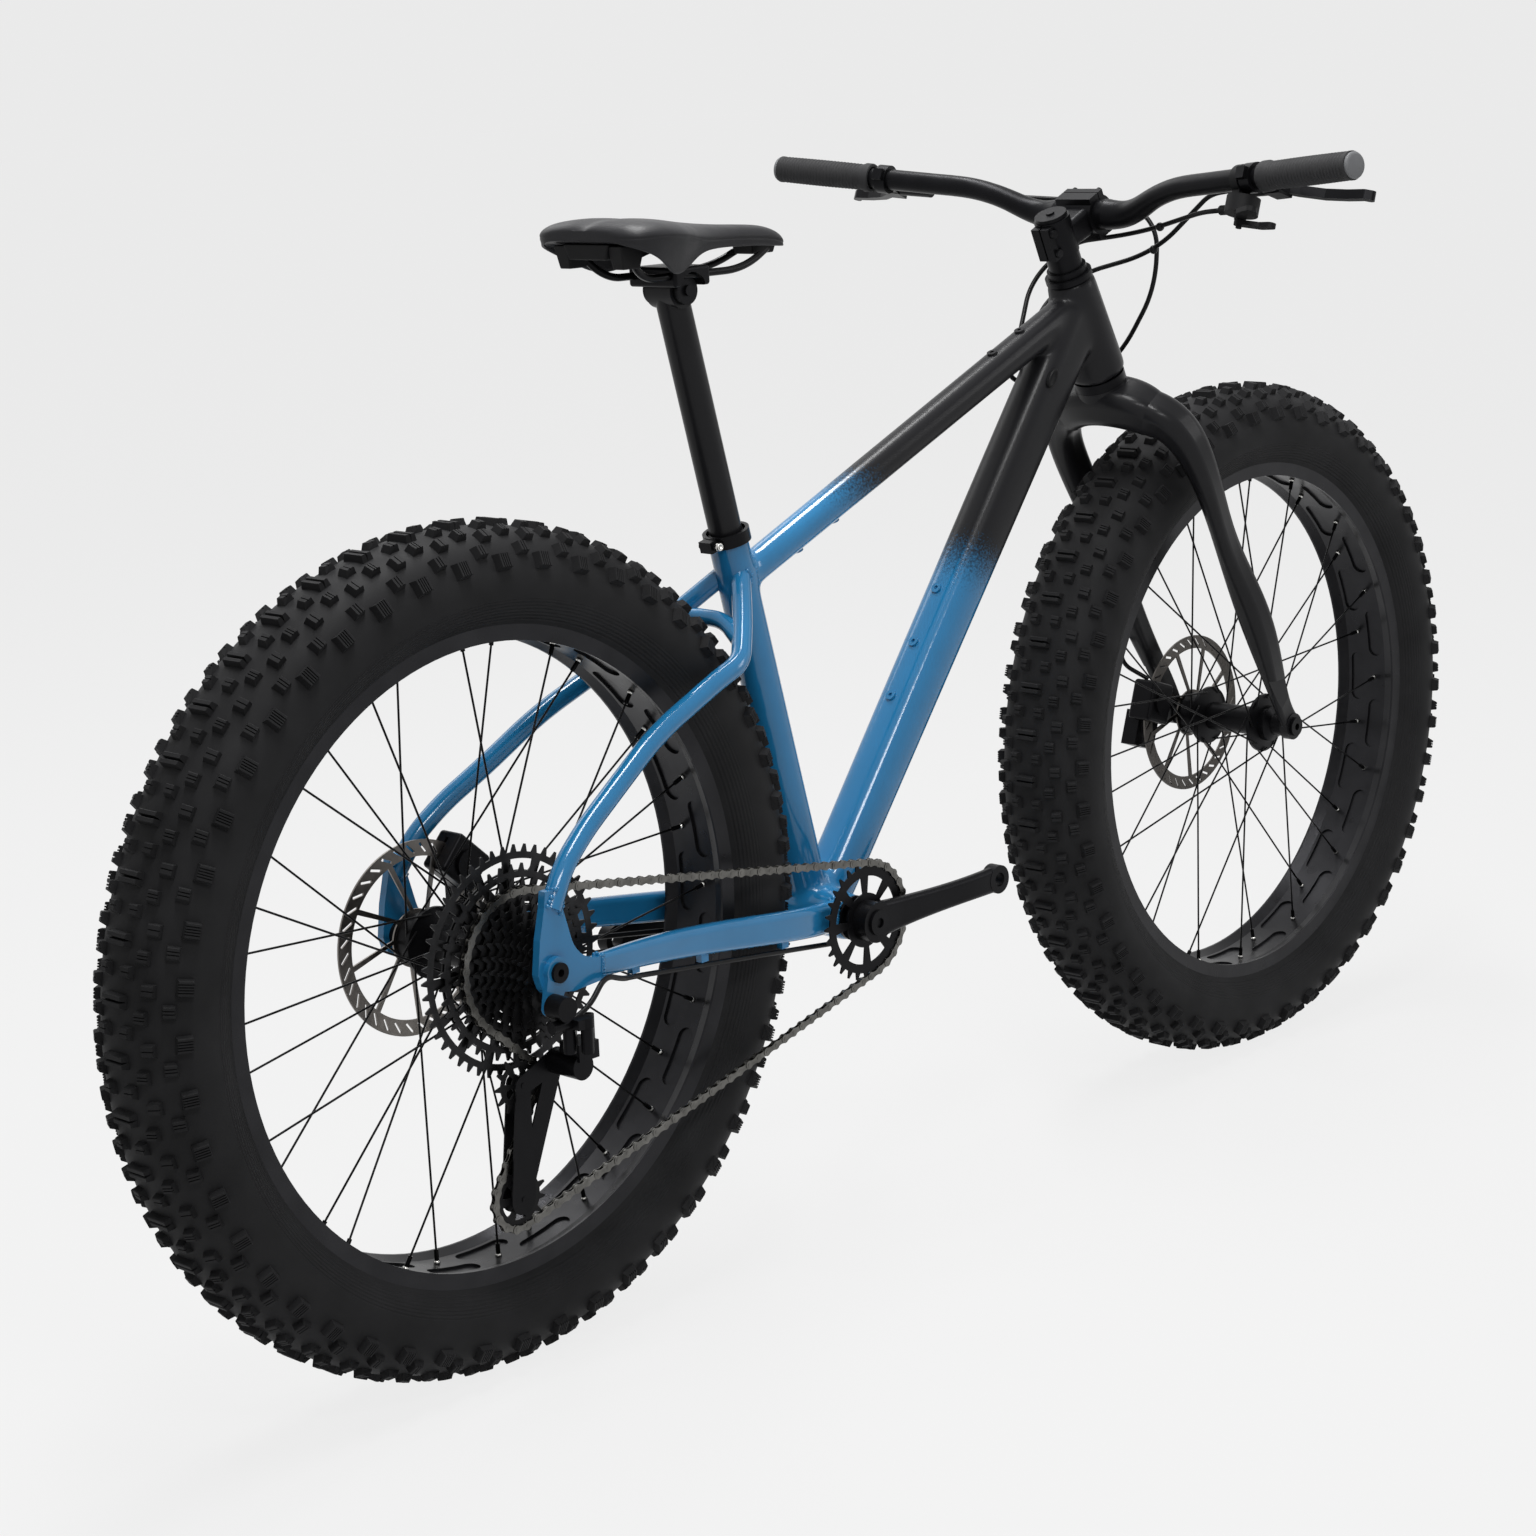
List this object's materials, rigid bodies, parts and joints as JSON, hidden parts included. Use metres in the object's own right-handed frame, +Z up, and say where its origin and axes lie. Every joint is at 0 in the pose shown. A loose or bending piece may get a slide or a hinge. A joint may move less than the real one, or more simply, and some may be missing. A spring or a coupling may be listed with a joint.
{
  "type": "fat tire bike",
  "caption": "Hardtail bicycle with very wide knobbly tyres, rigid fork, disc brakes, wide-range cassette and rear derailleur; steers, rolls, brakes and shifts.",
  "frame": {"origin": "on the ground, half way between the axles, in the centre plane", "axes": "+X forwards, +Y to the rider's left, +Z up"},
  "size_m": [1.9339, 0.7536, 1.0371],
  "materials": {
    "tyre": "matte",
    "rim_black": "satin",
    "spoke_black": "satin",
    "hub_black": "satin",
    "rotor_steel": "satin",
    "axle_steel": "satin",
    "frame_blue": "gloss",
    "frame_fade": "gloss",
    "frame_black": "satin",
    "bearing_black": "satin",
    "fork_black": "satin",
    "bar_black": "satin",
    "grip_rubber": "matte",
    "control_black": "satin",
    "shifter_plastic": "satin",
    "chain_steel": "satin",
    "cassette_black": "satin",
    "crank_black": "satin",
    "derailleur_black": "satin",
    "jockey_plastic": "matte",
    "pad_compound": "matte",
    "saddle_cover": "matte",
    "rail_steel": "satin",
    "housing_black": "satin"
  },
  "bodies": {
    "frame": {"head_tube": "frame_black", "top_tube": "frame_fade", "down_tube": "frame_fade", "seat_tube": "frame_blue", "bottom_bracket_shell": "frame_blue", "chainstays": "frame_blue", "seatstays": "frame_blue", "dropouts": "frame_blue", "seat_clamp": "frame_black", "frame_bearings": "bearing_black", "rear_axle": "axle_steel", "rear_caliper": "control_black", "frame_bosses": "frame_black", "chain": "chain_steel", "frame_cables": "housing_black", "derailleur_b_knuckle": "derailleur_black"},
    "steering": {"fork_crown": "fork_black", "fork_blades": "fork_black", "headset_spacers": "bearing_black", "stem": "bar_black", "handlebar": "bar_black", "grips": "grip_rubber", "master_cylinders": "control_black", "shifter_body": "shifter_plastic", "front_axle": "axle_steel", "front_caliper": "control_black", "front_brake_hose": "housing_black", "control_cables": "housing_black"},
    "front_wheel": {"front_tyre": "tyre", "front_rim": "rim_black", "front_spokes": "spoke_black", "front_hub": "hub_black", "front_rotor": "rotor_steel"},
    "rear_wheel": {"rear_tyre": "tyre", "rear_rim": "rim_black", "rear_spokes": "spoke_black", "rear_hub": "hub_black", "rear_rotor": "rotor_steel"},
    "cassette": {"cassette": "cassette_black"},
    "crankset": {"crank_arms": "crank_black", "chainring": "crank_black"},
    "outer_link": {"derailleur_outer_link": "derailleur_black"},
    "inner_link": {"derailleur_inner_link": "derailleur_black"},
    "cage_knuckle": {"derailleur_p_knuckle": "derailleur_black"},
    "cage": {"derailleur_cage": "derailleur_black"},
    "upper_jockey": {"upper_jockey": "jockey_plastic"},
    "lower_jockey": {"lower_jockey": "jockey_plastic"},
    "lever_right": {"brake_lever_right": "control_black"},
    "lever_left": {"brake_lever_left": "control_black"},
    "thumb_lever": {"shift_thumb_lever": "shifter_plastic"},
    "release_lever": {"shift_release_lever": "shifter_plastic"},
    "seatpost": {"seatpost": "bar_black"},
    "saddle_clamp": {"saddle_clamp": "bar_black"},
    "saddle": {"saddle": "saddle_cover", "saddle_rails": "rail_steel"},
    "rear_pad_outer": {"rear_pad_outer": "pad_compound"},
    "rear_pad_inner": {"rear_pad_inner": "pad_compound"},
    "front_pad_outer": {"front_pad_outer": "pad_compound"},
    "front_pad_inner": {"front_pad_inner": "pad_compound"}
  },
  "joints": [
    {"name": "steering", "type": "hinge", "parent": "frame", "child": "steering", "pos_m": [0.53641, 0, 0.36326], "axis": [-0.4067, 0, 0.9136], "range_deg": [-75, 75], "deforming": ["control_cables"]},
    {"name": "front_wheel_spin", "type": "hinge", "parent": "steering", "child": "front_wheel", "pos_m": [0.583, 0, 0.384], "axis": [0, 1, 0], "continuous": true},
    {"name": "rear_wheel_spin", "type": "hinge", "parent": "frame", "child": "rear_wheel", "pos_m": [-0.583, 0, 0.384], "axis": [0, 1, 0], "continuous": true},
    {"name": "crank_spin", "type": "hinge", "parent": "frame", "child": "crankset", "pos_m": [-0.145, 0, 0.324], "axis": [0, 1, 0], "continuous": true, "deforming": ["chain"]},
    {"name": "cassette_spin", "type": "hinge", "parent": "frame", "child": "cassette", "pos_m": [-0.583, -0.06325, 0.384], "axis": [0, 1, 0], "continuous": true},
    {"name": "shift_linkage", "type": "hinge", "parent": "frame", "child": "outer_link", "pos_m": [-0.57128, -0.13053, 0.3235], "axis": [0, 0, 1], "range_deg": [-47, 36], "deforming": ["chain"]},
    {"name": "inner_link_swing", "type": "hinge", "parent": "frame", "child": "inner_link", "pos_m": [-0.58128, -0.11853, 0.3235], "axis": [0, 0, 1], "range_deg": [-47, 36]},
    {"name": "knuckle_swing", "type": "hinge", "parent": "outer_link", "child": "cage_knuckle", "pos_m": [-0.543, -0.10225, 0.3235], "axis": [0, 0, 1], "range_deg": [-36, 47]},
    {"name": "cage_swing", "type": "hinge", "parent": "cage_knuckle", "child": "cage", "pos_m": [-0.555, -0.06325, 0.29], "axis": [0, -1, 0], "range_deg": [-66, 51]},
    {"name": "upper_jockey_spin", "type": "hinge", "parent": "cage", "child": "upper_jockey", "pos_m": [-0.59448, -0.06325, 0.27639], "axis": [0, 1, 0], "continuous": true},
    {"name": "lower_jockey_spin", "type": "hinge", "parent": "cage", "child": "lower_jockey", "pos_m": [-0.6013, -0.06325, 0.17303], "axis": [0, 1, 0], "continuous": true},
    {"name": "brake_lever_right", "type": "hinge", "parent": "steering", "child": "lever_right", "pos_m": [0.3146, -0.25463, 0.99788], "axis": [-0.3583, -0.0245, -0.9333], "range_deg": [0, 18], "stiffness_Nm_per_rad": 0.5, "springref_deg": -28.65},
    {"name": "brake_lever_left", "type": "hinge", "parent": "steering", "child": "lever_left", "pos_m": [0.3146, 0.25463, 0.99788], "axis": [0.3583, -0.0245, 0.9333], "range_deg": [0, 18], "stiffness_Nm_per_rad": 0.5, "springref_deg": -28.65},
    {"name": "rear_pad_outer_press", "type": "slide", "parent": "frame", "child": "rear_pad_outer", "axis": [0, -1, 0], "range_m": [0, 0.0003]},
    {"name": "rear_pad_inner_press", "type": "slide", "parent": "frame", "child": "rear_pad_inner", "axis": [0, 1, 0], "range_m": [0, 0.0003]},
    {"name": "front_pad_outer_press", "type": "slide", "parent": "steering", "child": "front_pad_outer", "axis": [0, -1, 0], "range_m": [0, 0.0003]},
    {"name": "front_pad_inner_press", "type": "slide", "parent": "steering", "child": "front_pad_inner", "axis": [0, 1, 0], "range_m": [0, 0.0003]},
    {"name": "shift_thumb", "type": "hinge", "parent": "steering", "child": "thumb_lever", "pos_m": [0.28578, -0.22993, 1.00829], "axis": [0.3583, 0.0245, 0.9333], "range_deg": [0, 35], "stiffness_Nm_per_rad": 0.05, "springref_deg": -28.65},
    {"name": "shift_release", "type": "hinge", "parent": "steering", "child": "release_lever", "pos_m": [0.28578, -0.22993, 1.00829], "axis": [0.3583, 0.0245, 0.9333], "range_deg": [0, 12], "stiffness_Nm_per_rad": 0.05, "springref_deg": -28.65},
    {"name": "seatpost_height", "type": "slide", "parent": "frame", "child": "seatpost", "axis": [-0.2495, 0, 0.9684], "range_m": [-0.06, 0.03]},
    {"name": "saddle_tilt", "type": "hinge", "parent": "seatpost", "child": "saddle_clamp", "pos_m": [-0.2972, 0, 0.94182], "axis": [0, 1, 0], "range_deg": [-8, 8]},
    {"name": "saddle_setback", "type": "slide", "parent": "saddle_clamp", "child": "saddle", "axis": [1, 0, 0], "range_m": [-0.01, 0.01]}
  ],
  "couplings": [
    {"joint": "cassette_spin", "follows": "crank_spin", "ratio": 0.875},
    {"joint": "upper_jockey_spin", "follows": "crank_spin", "ratio": -2.3333},
    {"joint": "lower_jockey_spin", "follows": "crank_spin", "ratio": 2},
    {"joint": "inner_link_swing", "follows": "shift_linkage", "ratio": 1},
    {"joint": "knuckle_swing", "follows": "shift_linkage", "ratio": -1},
    {"joint": "cage_swing", "follows": "shift_linkage", "ratio": 1.4},
    {"joint": "rear_pad_outer_press", "follows": "brake_lever_right", "m_per_rad": 0.00095},
    {"joint": "rear_pad_inner_press", "follows": "brake_lever_right", "m_per_rad": 0.00095},
    {"joint": "front_pad_outer_press", "follows": "brake_lever_left", "m_per_rad": 0.00095},
    {"joint": "front_pad_inner_press", "follows": "brake_lever_left", "m_per_rad": 0.00095}
  ]
}
